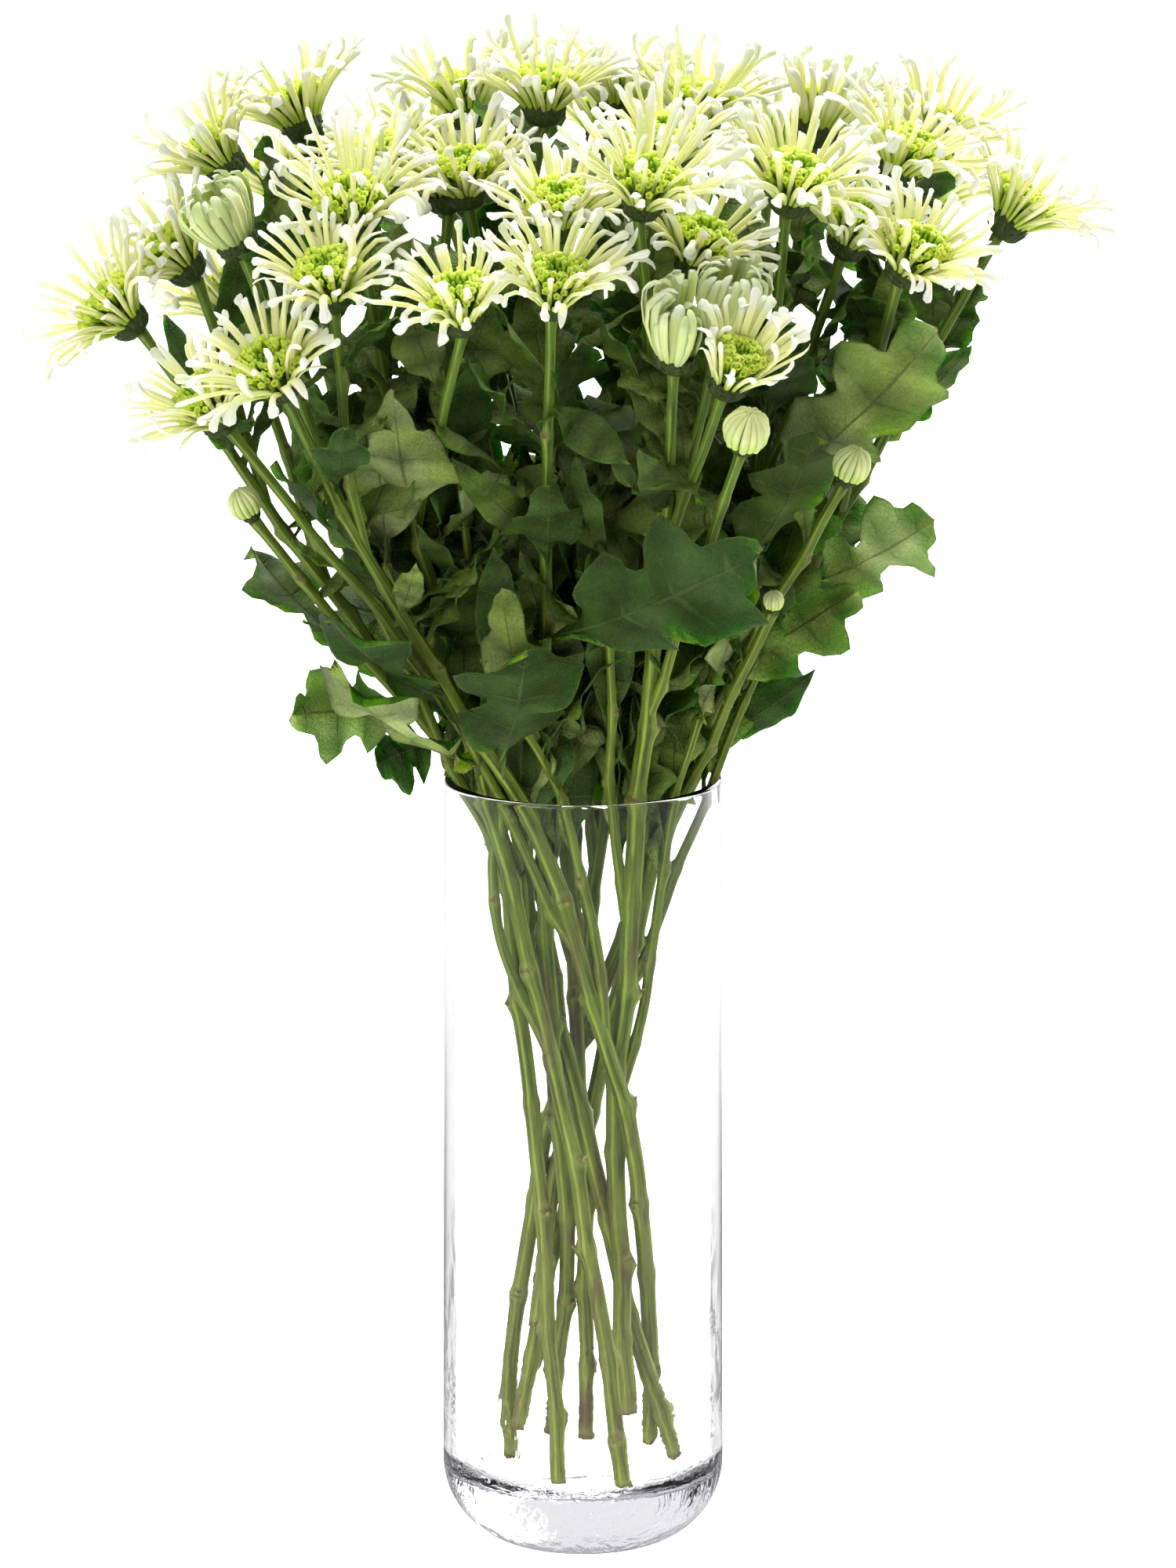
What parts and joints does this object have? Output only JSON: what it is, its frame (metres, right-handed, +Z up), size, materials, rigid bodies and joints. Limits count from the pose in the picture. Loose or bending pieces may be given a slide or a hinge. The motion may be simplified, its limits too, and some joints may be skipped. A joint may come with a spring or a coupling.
{
  "type": "vase of santini chrysanthemums",
  "caption": "Clear glass cylinder vase holding leafy cut sprays of white spider santini chrysanthemums with yellow-green discs.",
  "frame": {"origin": "centre of the vase's foot, on the surface that it stands on", "axes": "+Z up along the vase's axis; the picture looks along +Y, with +X to the right"},
  "size_m": [0.3472, 0.2657, 0.4927],
  "materials": {
    "glass": "polished",
    "foliage": "satin",
    "petals": "matte"
  },
  "bodies": {
    "root": {"vase": "glass", "spray_far_left": "foliage", "spray_front_left": "foliage", "spray_left_top": "foliage", "spray_centre_left": "foliage", "spray_back_left": "foliage", "spray_centre_front": "foliage", "spray_front": "foliage", "spray_back_centre": "foliage", "spray_right": "foliage", "spray_far_right": "foliage", "bloom_01": "petals", "bloom_02": "petals", "bloom_03": "petals", "bloom_04": "petals", "bloom_05": "petals", "bloom_06": "petals", "bloom_07": "petals", "bloom_08": "petals", "bloom_09": "petals", "bloom_10": "petals", "bloom_11": "petals", "bloom_12": "petals", "bloom_13": "petals", "bloom_14": "petals", "bloom_15": "petals", "bloom_16": "petals", "bloom_17": "petals", "bloom_18": "petals", "bloom_19": "petals", "bloom_20": "petals", "bloom_21": "petals", "bloom_22": "petals", "bloom_23": "petals", "bloom_24": "petals", "bloom_25": "petals", "bloom_26": "petals", "bloom_27": "petals", "bloom_28": "petals", "bloom_29": "petals", "bloom_30": "petals", "bloom_31": "petals", "bloom_32": "petals", "bloom_33": "petals", "bloom_34": "petals", "bloom_35": "petals", "bloom_36": "petals", "bloom_37": "petals", "bloom_38": "petals"}
  },
  "joints": []
}
